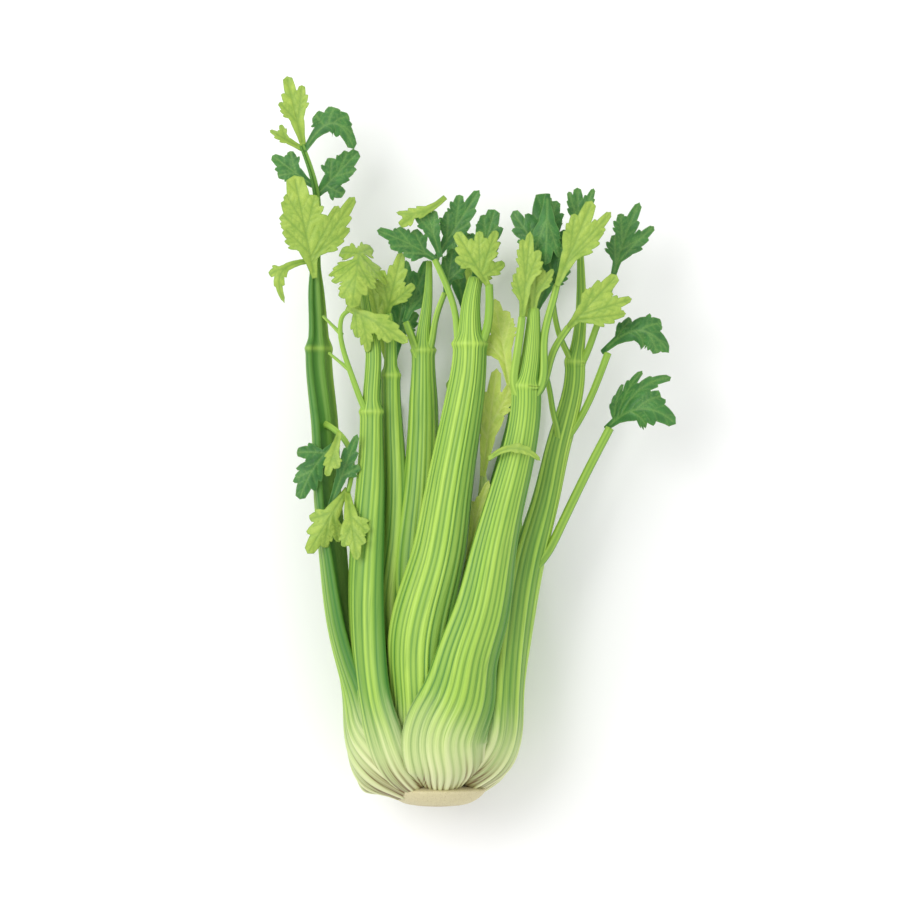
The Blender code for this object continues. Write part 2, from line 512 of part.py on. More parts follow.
def root_plate(skin):
    """The trimmed root end, turned on a lathe."""
    mesh = bpy.data.meshes.new("root_plate")
    mesh.from_pydata([(r * MM, 0, y * MM) for r, y in PLATE_PROFILE],
                     [(i, i + 1) for i in range(len(PLATE_PROFILE) - 1)], [])
    made = bpy.data.objects.new("root_plate", mesh)
    celery.objects.link(made)
    turn = made.modifiers.new("turn", "SCREW")
    turn.axis, turn.angle = "Z", 2 * math.pi
    turn.steps = turn.render_steps = PLATE_STEPS
    turn.use_merge_vertices, turn.merge_threshold = True, 0.00002
    graph = bpy.context.evaluated_depsgraph_get()
    turned = bpy.data.meshes.new_from_object(made.evaluated_get(graph))
    made.modifiers.clear()
    made.data = turned
    bpy.data.meshes.remove(mesh)
    for vert in turned.vertices:
        x, y, z = vert.co
        vert.co = (AXIS_X * MM + x, z, AXIS_Z * MM - y)
    tidy(turned)
    turned.materials.clear()
    turned.materials.append(skin)
    return made


def settle(parts):
    """Move everything so the bounding box stands on the origin's plane, centred over it."""
    points = np.array([vert.co[:] for part in parts for vert in part.data.vertices])
    low, high = points.min(axis=0), points.max(axis=0)
    shift = -np.array([(low[0] + high[0]) / 2, (low[1] + high[1]) / 2, low[2]])
    for part in parts:
        for vert in part.data.vertices:
            vert.co = Vector(vert.co) + Vector(shift)
        part.data.update()


def build():
    plate = root_plate(material("root_plate", PLATE_COLOUR, 0.6))
    made, uncut = {}, {}
    for name in OUTSIDE:
        inner = name in ("stalk_heart", "stalk_shoot")
        skin = material(name, INNER_COLOUR if inner else STALK_COLOUR, 0.4)
        stalk = solid(name, *loft(stalk_rings(name)), skin)
        for stem, (parent, *_) in STEMS.items():
            owner = parent if parent in STALKS else STEMS[parent][0]
            if owner == name:
                branch = solid("branch", *loft(stem_rings(stem)))
                combine(stalk, branch.data, "UNION")
                bpy.data.objects.remove(branch)
        uncut[name] = stalk.data.copy()
        combine(stalk, plate.data, "DIFFERENCE", GAP)
        for other in OUTSIDE[name]:
            combine(stalk, uncut[other], "DIFFERENCE", GAP)
        made[name] = stalk
    for name, leaf in LEAVES.items():
        tone = leaf[6]
        colour = tuple((1 - tone) * a + tone * b for a, b in zip(LEAF_LIGHT, LEAF_DARK))
        made[name] = leaf_solid(name, leaf, material(name, colour, 0.45))
    settle([plate, *made.values()])


for leftover in list(bpy.data.objects):
    bpy.data.objects.remove(leftover)
celery = bpy.data.collections.new("celery")
tools = bpy.data.collections.new("cutters")
bpy.context.scene.collection.children.link(celery)
bpy.context.scene.collection.children.link(tools)
build()
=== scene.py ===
"""The finished look of a head of celery, built round its fixed frame.

Lengths are in millimetres in the plant's own axes (x to the right, y from the root end up the
stalks, z away from the surface it lies on) until `place` turns them into metres in the frame.
"""

import math

import bpy
import numpy as np
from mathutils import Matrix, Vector, geometry


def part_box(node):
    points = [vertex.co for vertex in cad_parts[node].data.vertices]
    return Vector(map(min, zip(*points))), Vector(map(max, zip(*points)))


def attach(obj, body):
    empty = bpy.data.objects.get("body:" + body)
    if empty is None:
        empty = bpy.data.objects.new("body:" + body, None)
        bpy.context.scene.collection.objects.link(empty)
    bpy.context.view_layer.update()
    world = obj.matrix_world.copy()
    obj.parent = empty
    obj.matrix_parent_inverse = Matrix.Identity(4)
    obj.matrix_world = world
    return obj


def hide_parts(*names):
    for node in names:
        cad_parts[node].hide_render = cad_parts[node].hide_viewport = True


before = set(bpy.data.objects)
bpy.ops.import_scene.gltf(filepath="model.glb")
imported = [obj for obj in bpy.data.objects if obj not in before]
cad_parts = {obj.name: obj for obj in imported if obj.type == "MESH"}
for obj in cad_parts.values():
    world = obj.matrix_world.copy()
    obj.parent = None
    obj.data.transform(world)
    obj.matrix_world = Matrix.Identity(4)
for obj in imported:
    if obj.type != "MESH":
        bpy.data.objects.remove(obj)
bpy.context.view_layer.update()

MM = 0.001
AXIS_X, AXIS_Z = 1.0, 46.0       # the head's own axis, at the middle of the root plate
PLATE_LOW, PLATE_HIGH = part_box("root_plate")
ORIGIN = Vector(((PLATE_LOW[0] + PLATE_HIGH[0]) / 2 - AXIS_X * MM, PLATE_LOW[1],
                 (PLATE_LOW[2] + PLATE_HIGH[2]) / 2 - AXIS_Z * MM))

RESTING = 0.1                    # lowest that anything comes to the surface it lies on
RIM = 0.32                       # thickness at a stalk's edge, as a fraction of its middle
RIB_PITCH = 3.1                  # width of one rib half way up a stalk
RIB_POINTS = 6
STATION = 2.2                    # distance between a stalk's sections
HOLLOW_POINTS = 21
LEAST_HOLLOW = 0.35              # a hollow is at least this share as wide as its back
STEM_SIDES = 20
LEAF_GRID = 0.75
LEAF_THICKNESS = 0.5
BLADE_FOOT = 1.1                 # half width of a blade where it runs down onto its stem
BLADE_OVERLAP = 3.0              # how far it runs down
FIRST_TOOTH, LAST_TOOTH = 0.34, 0.97     # where a lobe's teeth begin and end along it
THICKEST, THIN_END = 10.0, 2.0   # a stalk's thickness: at most, and where it runs out to nothing
THICKENING = 0.45                # added thickness for each millimetre of width
FULL_CURL, OPENING = 82, 0.95    # degrees a back curls each way, less this for each millimetre of width
CURL_LIMITS = (42, 80)
JOINT_STEP, JOINT_SWELL = 3, 1.06    # a joint is this far above its shoulder, and this much wider
PLATE_PROFILE = [(0, 0), (12, 0.8), (20, 3.2), (25, 7.5), (24, 10), (16, 12.5), (8, 14.5), (0, 15.5)]

# How a stalk swells from the root: height, then reach and width as shares of the bulb's own.
BULB = [(10, 0.46, 0.58), (14, 0.63, 0.78), (20, 0.81, 0.94), (34, 0.95, 1.0), (56, 1.0, 0.92)]
BULB_TOP = 56

# Each stalk: height it starts at, the angles round the head (0 right, 90 up) at the root, half
# way up the bulb and at its top, its reach and width there, the way its back faces at its joint,
# then its stations above the bulb as height, x, z and width. A joint ends the first list, and the
# slimmer stem above it is the second.
STALKS = {
    "stalk_far_left": (10, (138, 165, 176), 43, 48, 226,
        [(88, -49, 48, 35), (130, -54, 47, 29), (160, -57, 46, 24), (200, -58, 45, 19), (238, -61, 44, 17)],
        [(245, -61, 44, 13), (268, -62, 45, 10), (284, -62, 46, 6), (322, -62, 46, 4), (344, -69, 46, 3)]),
    "stalk_left": (11, (128, 134, 142), 42, 26, 100,
        [(88, -36, 68, 23), (130, -36, 66, 20), (160, -34, 64, 16), (205, -33, 62, 12)],
        [(212, -33, 62, 9), (238, -32, 60, 8), (256, -35, 58, 5), (280, -38, 57, 3)]),
    "stalk_left_inner": (18, (136, 137, 138), 25, 20, 100,
        [(100, -25, 58, 20), (140, -22, 57, 16), (190, -22, 55, 12), (224, -23, 54, 10)],
        [(230, -23, 54, 7), (242, -23, 54, 6), (256, -24, 54, 4)]),
    "stalk_centre_inner": (21, (95, 95, 95), 18, 23, 92,
        [(108, -10, 62, 24), (160, -8, 60, 19), (210, -6, 58, 15), (237, -6, 57, 12)],
        [(243, -6, 57, 8), (262, -4, 56, 5), (283, -3, 55, 3)]),
    "stalk_centre": (15, (105, 106, 107), 33, 34, 92,
        [(88, -9, 77, 33), (130, 1, 76, 28), (160, 6, 76, 25), (210, 15, 75, 20), (240, 18, 74, 17)],
        [(247, 18, 74, 12), (264, 19, 73, 9), (274, 21, 72, 7)]),
    "stalk_front": (13, (78, 84, 74), 41, 44, 86,
        [(77, 17, 86, 33), (100, 24, 86, 29), (130, 30, 85, 24), (160, 37, 84, 20), (218, 47, 83, 15)],
        [(224, 48, 83, 11), (240, 50, 82, 9), (258, 51, 81, 6)]),
    "stalk_right": (13, (24, 20, 20), 41, 38, 70,
        [(88, 43, 60, 28), (130, 50, 58, 22), (160, 58, 56, 17), (190, 65, 54, 14), (231, 73, 52, 11)],
        [(238, 74, 52, 8), (270, 76, 50, 5), (297, 75, 48, 3)]),
    "stalk_heart": (18, (40, 40, 40), 14, 15, 85,
        [(88, 12, 58, 14), (130, 20, 58, 9), (165, 25, 60, 5), (174, 25, 61, 3)], []),
    "stalk_back_left": (11, (228, 228, 230), 41, 38, 270,
        [(88, -28, 11, 30), (120, -29, 7, 25), (160, -29, 6, 21), (208, -28, 6, 15)],
        [(214, -28, 7, 10), (230, -24, 9, 5)]),
    "stalk_back_centre": (11, (275, 275, 274), 40, 40, 270,
        [(88, 6, 6, 33), (130, 7, 6, 26), (170, 9, 6, 20), (219, 14, 6, 15)],
        [(225, 15, 7, 11), (240, 16, 8, 7), (258, 17, 11, 5)]),
    "stalk_back_right": (10, (350, 332, 322), 41, 44, 270,
        [(88, 37, 15, 32), (125, 37, 9, 25), (160, 37, 6, 19), (217, 46, 6, 14)],
        [(223, 47, 7, 10), (240, 50, 9, 7), (256, 51, 12, 5)]),
    "stalk_shoot": (18, (250, 250, 250), 12, 13, 262,
        [(88, -4, 33, 11), (120, -6, 33, 8), (150, -8, 34, 4)], []),
}

# Thin leaf stems: what each grows from, its points and its radius at both ends.
STEMS = {
    "far_left_shoot": ("stalk_far_left", [(-52, 196, 57), (-47, 191, 59), (-43, 180, 60),
                                          (-45, 164, 60)], 1.7, 1.2),
    "left_side": ("stalk_left", [(-36, 206, 63), (-43, 224, 63), (-47, 236, 62), (-49, 249, 63),
                                 (-47, 256, 64), (-44, 258, 65)], 1.7, 1.1),
    "left_twig_low": ("left_side", [(-44, 227, 63), (-49, 231, 61), (-55, 236, 59)], 0.9, 0.7),
    "left_twig_high": ("left_side", [(-48, 245, 62), (-53, 250, 61), (-58, 255, 58)], 0.9, 0.7),
    "centre_inner_left": ("stalk_centre_inner", [(-9, 236, 58), (-12, 244, 58), (-15, 252, 57)], 2.4, 1.9),
    "centre_inner_right": ("stalk_centre_inner", [(-3, 237, 58), (0, 252, 60), (5, 267, 62)], 1.9, 1.4),
    "centre_left": ("stalk_centre", [(13, 239, 74), (11, 252, 72), (7, 268, 70), (0, 284, 68)], 1.7, 1.6),
    "centre_right": ("stalk_centre", [(23, 239, 74), (28, 256, 75), (28, 271, 76)], 2.3, 2.0),
    "front_left": ("stalk_front", [(42, 216, 84), (42, 232, 85), (45, 254, 85)], 2.3, 1.9),
    "front_right": ("stalk_front", [(53, 216, 83), (56, 240, 81), (61, 263, 79), (63, 271, 79)], 2.4, 1.8),
    "front_far_right": ("stalk_front", [(53, 215, 82), (61, 236, 73), (69, 249, 69)], 2.0, 1.8),
    "right_inner": ("stalk_right", [(64, 192, 57), (61, 206, 62), (59, 218, 64), (57, 226, 64)], 1.7, 1.3),
    "right_left": ("stalk_right", [(71, 230, 53), (65, 244, 58), (61, 264, 61)], 1.7, 1.3),
    "right_right": ("stalk_right", [(76, 230, 52), (83, 247, 54), (89, 264, 55), (93, 276, 56)], 1.8, 1.6),
    "right_upper": ("stalk_right", [(69, 192, 54), (81, 213, 52), (90, 236, 51)], 1.7, 1.9),
    "right_lower": ("stalk_right", [(55, 128, 58), (64, 143, 55), (77, 170, 53), (91, 197, 52)], 2.4, 2.2),
}

# Leaf blades: base, tip, how far the midrib bows to its left and up, fold in degrees (up or, if
# negative, down), width of the middle lobe, how dark it is from 0 to 1, and its side lobes: start
# along the midrib, angle from it (left is positive), length and width, as shares of the leaf.
LEAVES = {
    "leaf_far_left_1": ((-69, 346, 46), (-77, 380, 50), 0, 2, 12, 9, 0.15,
        [(0.3, -20, 0.55, 0.2), (0.3, 30, 0.4, 0.15)]),
    "leaf_far_left_2": ((-72, 344, 46), (-86, 352, 49), 0, 1, 10, 4, 0.2,
        [(0.4, -40, 0.5, 0.2)]),
    "leaf_far_left_3": ((-66, 345, 48), (-42, 342, 50), 12, 3, -12, 10, 0.85,
        [(0.3, 100, 0.25, 0.2), (0.4, 70, 0.25, 0.2), (0.5, 50, 0.25, 0.2), (0.6, 15, 0.25, 0.15)]),
    "leaf_far_left_4": ((-66, 325, 45), (-85, 339, 43), 0, 1, 10, 9, 0.85,
        [(0.35, -40, 0.5, 0.25), (0.35, 45, 0.4, 0.25)]),
    "leaf_far_left_5": ((-61, 319, 45), (-40, 341, 44), 0, 1, 10, 11, 0.9,
        [(0.3, 40, 0.4, 0.25), (0.5, 20, 0.4, 0.2), (0.4, -30, 0.35, 0.2), (0.2, -75, 0.35, 0.25)]),
    "leaf_far_left_6": ((-63, 278, 53), (-73, 328, 58), 0, 2, 10, 17, 0.2,
        [(0.1, -45, 0.8, 0.17), (0.15, -40, 0.6, 0.14), (0.15, -65, 0.5, 0.14), (0.5, 20, 0.35, 0.18),
         (0.35, 35, 0.35, 0.18), (0.2, 35, 0.35, 0.18), (0.4, -25, 0.4, 0.2)]),
    "leaf_far_left_7": ((-66, 284, 51), (-78, 262, 56), -9, 3, -12, 5, 0.25,
        [(0.4, -40, 0.25, 0.15)]),
    "leaf_far_left_8": ((-55, 186, 57), (-70, 160, 62), -2, 2, -10, 11, 0.95,
        [(0.1, -60, 0.45, 0.25), (0.45, -35, 0.3, 0.2)]),
    "leaf_far_left_9": ((-50, 192, 69), (-56, 172, 72), 0, 1, 10, 6, 0.3,
        [(0.4, 35, 0.4, 0.2)]),
    "leaf_far_left_10": ((-53, 160, 60), (-40, 194, 68), 0, 1, 10, 7, 0.9,
        [(0.35, -40, 0.3, 0.15)]),
    "leaf_far_left_11": ((-47, 163, 60), (-66, 132, 62), 0, 5, -12, 11, 0.3,
        [(0.3, -40, 0.35, 0.18), (0.4, 20, 0.45, 0.18), (0.3, 40, 0.45, 0.18)]),
    "leaf_far_left_12": ((-45, 161, 61), (-40, 129, 75), 0, 6, 4, 9, 0.35,
        [(0.3, 35, 0.35, 0.2), (0.5, 25, 0.3, 0.15), (0.4, -25, 0.4, 0.15)]),
    "leaf_left_1": ((-39, 289, 60), (-43, 259, 72), 0, 8, -14, 13, 0.3,
        [(0.05, 55, 0.55, 0.22), (0.2, 35, 0.5, 0.2), (0.2, -40, 0.5, 0.2), (0.4, -20, 0.5, 0.2),
         (0.15, -60, 0.45, 0.2), (0.05, 140, 0.25, 0.2), (0.05, -110, 0.3, 0.2)]),
    "leaf_left_2": ((-43, 258, 66), (-14, 241, 69), 1, 2, -10, 9, 0.25,
        [(0.15, -50, 0.6, 0.2), (0.05, -60, 0.4, 0.15), (0.4, -20, 0.4, 0.2)]),
    "leaf_left_inner_1": ((-25, 257, 55), (-17, 288, 62), 0, 2, 10, 9, 0.35,
        [(0.1, 25, 0.6, 0.22), (0.1, -35, 0.55, 0.2)]),
    "leaf_centre_inner_1": ((-15, 254, 55), (-4, 284, 44), 0, 0, 10, 8, 0.9,
        [(0.2, 25, 0.75, 0.2), (0.1, -20, 0.5, 0.25)]),
    "leaf_centre_inner_2": ((6, 269, 62), (9, 290, 60), 0, 1, 10, 8, 0.8,
        [(0.2, -40, 0.55, 0.3), (0.3, 20, 0.45, 0.25)]),
    "leaf_centre_1": ((-1, 285, 68), (-30, 299, 72), -1, 1, 10, 8, 0.85,
        [(0.15, -35, 0.4, 0.22), (0.4, -25, 0.35, 0.2), (0.35, 25, 0.4, 0.18), (0.1, 25, 0.4, 0.2)]),
    "leaf_centre_2": ((2, 288, 72), (-5, 311, 75), 0, 1, 8, 7, 0.9,
        [(0.4, 25, 0.55, 0.22), (0.4, -20, 0.5, 0.2)]),
    "leaf_centre_3": ((3, 314, 76), (-20, 308, 80), 3, 2, -15, 5, 0.2,
        [(0.6, 40, 0.4, 0.2)]),
    "leaf_centre_4": ((2, 287, 66), (23, 320, 68), 0, 1, 10, 9, 0.9,
        [(0.2, 30, 0.4, 0.2), (0.4, 25, 0.45, 0.2), (0.3, -25, 0.3, 0.18)]),
    "leaf_centre_5": ((21, 277, 66), (31, 310, 62), 0, 1, 10, 12, 0.8,
        [(0.2, 45, 0.45, 0.25), (0.5, 20, 0.4, 0.2), (0.5, -20, 0.3, 0.2), (0.2, -30, 0.35, 0.2)]),
    "leaf_centre_6": ((26, 273, 77), (11, 298, 80), 0, 2, 8, 9, 0.2,
        [(0.15, -50, 0.8, 0.25), (0.1, -90, 0.45, 0.2), (0.2, -30, 0.7, 0.25), (0.3, 40, 0.4, 0.2)]),
    "leaf_front_1": ((38, 222, 70), (31, 264, 62), 0, 1, 10, 10, 0.05,
        [(0.2, 30, 0.5, 0.2), (0.4, -25, 0.35, 0.18), (0.5, -20, 0.35, 0.18)]),
    "leaf_front_2": ((45, 256, 85), (49, 298, 88), 0, 2, 10, 8, 0.4,
        [(0.1, 20, 0.4, 0.14), (0.4, 10, 0.5, 0.14), (0.3, -15, 0.5, 0.18)]),
    "leaf_front_3": ((51, 260, 82), (53, 284, 84), 0, 1, 10, 8, 0.35,
        [(0.2, -30, 0.7, 0.22)]),
    "leaf_front_4": ((62, 273, 78), (57, 318, 69), 3, 0, 10, 17, 0.95,
        [(0.3, 35, 0.6, 0.2), (0.4, -15, 0.55, 0.22)]),
    "leaf_front_5": ((58, 315, 79), (57, 281, 81), 0, 3, -15, 11, 0.9,
        [(0.3, 20, 0.65, 0.16), (0.3, -20, 0.6, 0.16)]),
    "leaf_front_6": ((64, 273, 81), (81, 314, 80), 0, 2, 10, 11, 0.25,
        [(0.3, 15, 0.5, 0.16), (0.25, -20, 0.75, 0.16), (0.2, -25, 0.6, 0.16)]),
    "leaf_front_7": ((70, 250, 69), (94, 276, 72), 0, 2, 10, 10, 0.2,
        [(0.2, -30, 0.8, 0.2), (0.1, -40, 0.75, 0.2), (0.3, 20, 0.35, 0.2)]),
    "leaf_right_1": ((75, 298, 48), (74, 322, 50), 0, 1, 10, 8, 0.85,
        [(0.2, 15, 0.75, 0.2), (0.2, -25, 0.85, 0.22)]),
    "leaf_right_2": ((93, 278, 57), (106, 314, 60), 1, 1, 10, 8, 0.85,
        [(0.1, -25, 0.75, 0.18), (0.3, -40, 0.4, 0.14), (0.4, 25, 0.4, 0.18), (0.1, 20, 0.4, 0.2)]),
    "leaf_right_3": ((90, 239, 52), (121, 236, 60), 10, 7, -14, 12, 0.9,
        [(0.1, 35, 0.3, 0.18), (0.5, 40, 0.3, 0.2), (0.4, -35, 0.35, 0.18), (0.6, -20, 0.35, 0.18)]),
    "leaf_right_4": ((91, 199, 53), (125, 199, 62), 8, 6, -12, 14, 0.9,
        [(0.15, 40, 0.75, 0.15), (0.1, 55, 0.6, 0.15), (0.05, 70, 0.45, 0.15), (0.3, -40, 0.35, 0.2),
         (0.4, 35, 0.35, 0.25)]),
    "leaf_heart_1": ((25, 175, 62), (32, 228, 66), 0, 1, 10, 10, 0.1,
        [(0.3, 30, 0.4, 0.15), (0.4, -20, 0.5, 0.15)]),
    "leaf_heart_2": ((30, 183, 89), (54, 180, 93), 5, 3, -8, 4, 0.15, []),
    "leaf_heart_3": ((17, 132, 65), (28, 170, 68), 1, 1, 10, 6, 0.05,
        [(0.4, 25, 0.3, 0.12)]),
    "leaf_back_left_1": ((-25, 233, 9), (-36, 284, 10), 0, 2, 10, 11, 0.5,
        [(0.3, 30, 0.4, 0.18), (0.3, -30, 0.35, 0.15)]),
    "leaf_back_left_2": ((-22, 232, 12), (-16, 274, 22), 0, 2, 10, 9, 0.6,
        [(0.3, -30, 0.4, 0.18)]),
    "leaf_back_centre_1": ((18, 261, 13), (26, 300, 22), 0, 2, 10, 11, 0.5,
        [(0.3, -30, 0.4, 0.18)]),
    "leaf_back_centre_2": ((15, 261, 10), (8, 297, 9), 0, 1, 10, 10, 0.6,
        [(0.3, 30, 0.4, 0.18)]),
    "leaf_back_right_1": ((49, 259, 13), (54, 305, 22), 0, 2, 10, 11, 0.5,
        [(0.3, -30, 0.35, 0.18)]),
    "leaf_back_right_2": ((53, 259, 12), (68, 298, 9), 0, 2, 10, 10, 0.6,
        [(0.3, -30, 0.4, 0.18)]),
    "leaf_shoot_1": ((-9, 152, 35), (-9, 178, 38), 0, 1, 10, 6, 0.05, []),
    "leaf_shoot_2": ((-7, 152, 33), (-3, 171, 30), 0, 1, 10, 5, 0.05, []),
}


def stalk_rows(name):
    """All the sections of a stalk: x, y, z, width, thickness, facing, curl."""
    root_y, angles, bulb_reach, bulb_width, joint_facing, below, above = STALKS[name]
    rows = []
    for height, reach_share, width_share in BULB:
        y = root_y + (BULB_TOP - root_y) * (height - BULB[0][0]) / (BULB_TOP - BULB[0][0])
        facing = np.interp((y - root_y) / (BULB_TOP - root_y), (0, 0.5, 1), angles)
        turn, reach = math.radians(facing), bulb_reach * reach_share
        x, z = AXIS_X + reach * math.cos(turn), AXIS_Z + reach * math.sin(turn)
        rows.append((x, y, z, bulb_width * width_share, facing))
    turned = (joint_facing - angles[2] + 180) % 360 - 180
    for y, x, z, width in below:
        rows.append((x, y, z, width, angles[2] + turned * (y - BULB_TOP) / (below[-1][0] - BULB_TOP)))
    if above:
        x, y, z, width, facing = rows[-1]
        rows[-1] = (x, y - JOINT_STEP, z, width, facing)
        rows.append((x, y, z, width * JOINT_SWELL, facing))
    rows += [(x, y, z, width, joint_facing) for y, x, z, width in above]
    rows = np.array(rows, dtype=float)
    width = rows[:, 3]
    thick = np.minimum(THICKEST, THIN_END + THICKENING * width)
    curl = np.clip(FULL_CURL - OPENING * width, *CURL_LIMITS)
    return np.column_stack([rows[:, :4], thick, rows[:, 4], curl])


# ---------------------------------------------------------------- materials

class Level:
    """A number or colour that varies over a surface; sums on it add their nodes."""

    def __init__(self, finish, socket):
        self.finish, self.socket = finish, socket

    def sum(self, operation, *terms):
        return self.finish.node("ShaderNodeMath", {"operation": operation}, dict(enumerate(terms)))

    def __add__(self, other):
        return self.sum("ADD", self, other)

    def __sub__(self, other):
        return self.sum("SUBTRACT", self, other)

    def __rsub__(self, other):
        return self.sum("SUBTRACT", other, self)

    def __mul__(self, other):
        return self.sum("MULTIPLY", self, other)

    def __pow__(self, other):
        return self.sum("POWER", self, other)

    __radd__, __rmul__ = __add__, __mul__

    def between(self, low, high):
        """0 below low and 1 above high, smooth in between."""
        return self.finish.node("ShaderNodeMapRange", {"interpolation_type": "SMOOTHSTEP"},
                                {"Value": self, "From Min": low, "From Max": high})

    def clipped(self):
        return self.finish.node("ShaderNodeClamp", {}, {"Value": self})


class Finish:
    """One material, built node by node onto a Principled shader."""

    def __init__(self, name, **constants):
        self.material = bpy.data.materials.new(name)
        self.material.use_nodes = True
        self.tree = self.material.node_tree
        self.shader = self.tree.nodes["Principled BSDF"]
        for socket, value in constants.items():
            self.shader.inputs[socket.replace("_", " ")].default_value = value

    def node(self, kind, settings, inputs, output=0):
        made = self.tree.nodes.new(kind)
        for setting, value in settings.items():
            if setting == "stops":
                self.set_stops(made.color_ramp, value)
            else:
                setattr(made, setting, value)
        for socket, value in inputs.items():
            if isinstance(value, Level):
                self.tree.links.new(value.socket, made.inputs[socket])
            else:
                made.inputs[socket].default_value = value
        return Level(self, made.outputs[output])

    @staticmethod
    def set_stops(ramp, stops):
        while len(ramp.elements) < len(stops):
            ramp.elements.new(1.0)
        for element, (position, colour) in zip(ramp.elements, stops):
            element.position, element.color = position, (*colour, 1)

    def read(self, name, output="Fac"):
        return self.node("ShaderNodeAttribute", {"attribute_name": name}, {}, output)

    def mix(self, one, other, amount, blend="MIX"):
        rgba = [value if isinstance(value, Level) else (*value, 1) for value in (one, other)]
        return self.node("ShaderNodeMix", {"data_type": "RGBA", "blend_type": blend},
                         {0: amount, 6: rgba[0], 7: rgba[1]}, 2)

    def noise(self, where, scale, detail=3.0, rough=0.55):
        return self.node("ShaderNodeTexNoise", {}, {"Vector": where, "Scale": scale, "Detail": detail,
                                                    "Roughness": rough})

    def stretched(self, where, x, y, z=1.0):
        return self.node("ShaderNodeVectorMath", {"operation": "MULTIPLY"}, {0: where, 1: (x, y, z)})

    def feed(self, socket, value):
        self.tree.links.new(value.socket, self.shader.inputs[socket])

    def bump(self, height, distance):
        self.feed("Normal", self.node("ShaderNodeBump", {}, {"Height": height, "Strength": 1.0,
                                                            "Distance": distance * MM}))


def stalk_finish(name, light, mid, deep, cream, pale_to, green_from):
    """Ribbed flesh: `deep` in the grooves, painted shade on the right flank and in the hollow, `cream`
    towards the root.
    """
    flesh = Finish(name, Roughness=0.42, IOR=1.4)
    fibre = flesh.read("fibre", "Vector")
    crest, flank, height = flesh.read("crest"), flesh.read("flank"), flesh.read("height")
    hollow, ring = flesh.read("hollow"), flesh.read("ring")
    streaks = flesh.noise(flesh.stretched(fibre, 1.6, 0.035), 1.0, 4.0)
    broad = flesh.noise(flesh.stretched(fibre, 0.16, 0.012), 1.0, 2.0)
    fine = flesh.noise(flesh.stretched(fibre, 5.0, 0.22), 1.0, 3.0)
    colour = flesh.mix(mid, light, (broad * 1.5 - 0.3).clipped())
    colour = flesh.mix(colour, deep, ((streaks - 0.5) * 3.2).clipped() * 0.6)
    groove = (1 - crest) ** 1.6
    colour = flesh.mix(colour, deep, groove * 0.95)
    # painted shade: the right flank of each stalk and stem is darkened as if lit from the upper left
    colour = flesh.mix(colour, deep, flank.between(0.45, 1.0) * 0.7)
    # painted shade inside each stalk's hollow and in the dent along each stem's top
    colour = flesh.mix(colour, deep, hollow * 0.5)
    colour = flesh.mix(colour, light, ring * 0.4)
    paler = 1 - (height + (streaks - 0.5) * 34 + (broad - 0.5) * 24).between(pale_to, green_from)
    root = flesh.mix(cream, mid, groove * 0.55)
    scorch = (1 - (height + (streaks - 0.5) * 40).between(6, 32)) * groove
    root = flesh.mix(root, (0.20, 0.11, 0.05), (scorch * 1.9).clipped())
    colour = flesh.mix(colour, root, paler * 0.92)
    colour = flesh.mix(colour, (1, 1, 1), (fine - 0.5) * 0.16, "SOFT_LIGHT")
    flesh.feed("Base Color", colour)
    flesh.feed("Roughness", 0.34 + streaks * 0.2 + hollow * 0.1)
    flesh.bump(streaks * 0.7 + fine * 0.3, 0.16)
    return flesh.material


def leaf_finish(name, top, deep, vein_colour, vein_strength):
    """A leaf's skin: mottled between the veins, paler at its teeth and underneath."""
    skin = Finish(name, Roughness=0.46, IOR=1.42)
    where, vein, edge = skin.read("sheet", "Vector"), skin.read("vein"), skin.read("edge")
    under, shade = skin.read("under"), skin.read("shade")
    cells = skin.node("ShaderNodeTexVoronoi", {"feature": "DISTANCE_TO_EDGE"},
                      {"Vector": where, "Scale": 0.85})
    mottle = skin.noise(where, 0.22, 4.0)
    grain = skin.noise(where, 1.6, 3.0)
    colour = skin.mix(top, deep, (mottle * 1.9 - 0.62 + shade * 0.5).clipped())
    colour = skin.mix(colour, vein_colour, vein * vein_strength)
    colour = skin.mix(colour, deep, (1 - cells.between(0.0, 0.18)) * 0.25)
    colour = skin.mix(colour, vein_colour, (1 - edge.between(0.0, 0.7)) * 0.3)
    colour = skin.mix(colour, (0.32, 0.45, 0.16), under * 0.45)
    colour = skin.mix(colour, (1, 1, 1), (grain - 0.5) * 0.2, "SOFT_LIGHT")
    skin.feed("Base Color", colour)
    skin.feed("Roughness", 0.36 + grain * 0.22 + under * 0.15)
    skin.bump(cells.between(0.0, 0.3) * 0.5 + grain * 0.3 - vein * 0.4, 0.12)
    return skin.material


def plate_finish():
    """Trimmed root end: cream flesh going brown in rings towards the dried middle."""
    flesh = Finish("root_scar", Roughness=0.6)
    ring, fibre = flesh.read("ring"), flesh.read("fibre", "Vector")
    spots = flesh.noise(fibre, 0.5, 5.0, 0.65)
    lines = flesh.noise(fibre, 2.2, 3.0)
    colour = flesh.mix((0.58, 0.52, 0.27), (0.72, 0.65, 0.42), spots)
    colour = flesh.mix(colour, (0.34, 0.21, 0.09), (1 - (ring + (spots - 0.5) * 12).between(9, 17)) * 0.75)
    colour = flesh.mix(colour, (0.22, 0.13, 0.06), (lines - 0.58).between(0.0, 0.1) * 0.6)
    flesh.feed("Base Color", colour)
    flesh.feed("Roughness", 0.5 + spots * 0.3)
    flesh.bump(spots * 0.6 + lines * 0.4, 0.5)
    return flesh.material


# ---------------------------------------------------------------- curves

def unit(vectors):
    return vectors / np.linalg.norm(vectors, axis=-1, keepdims=True)


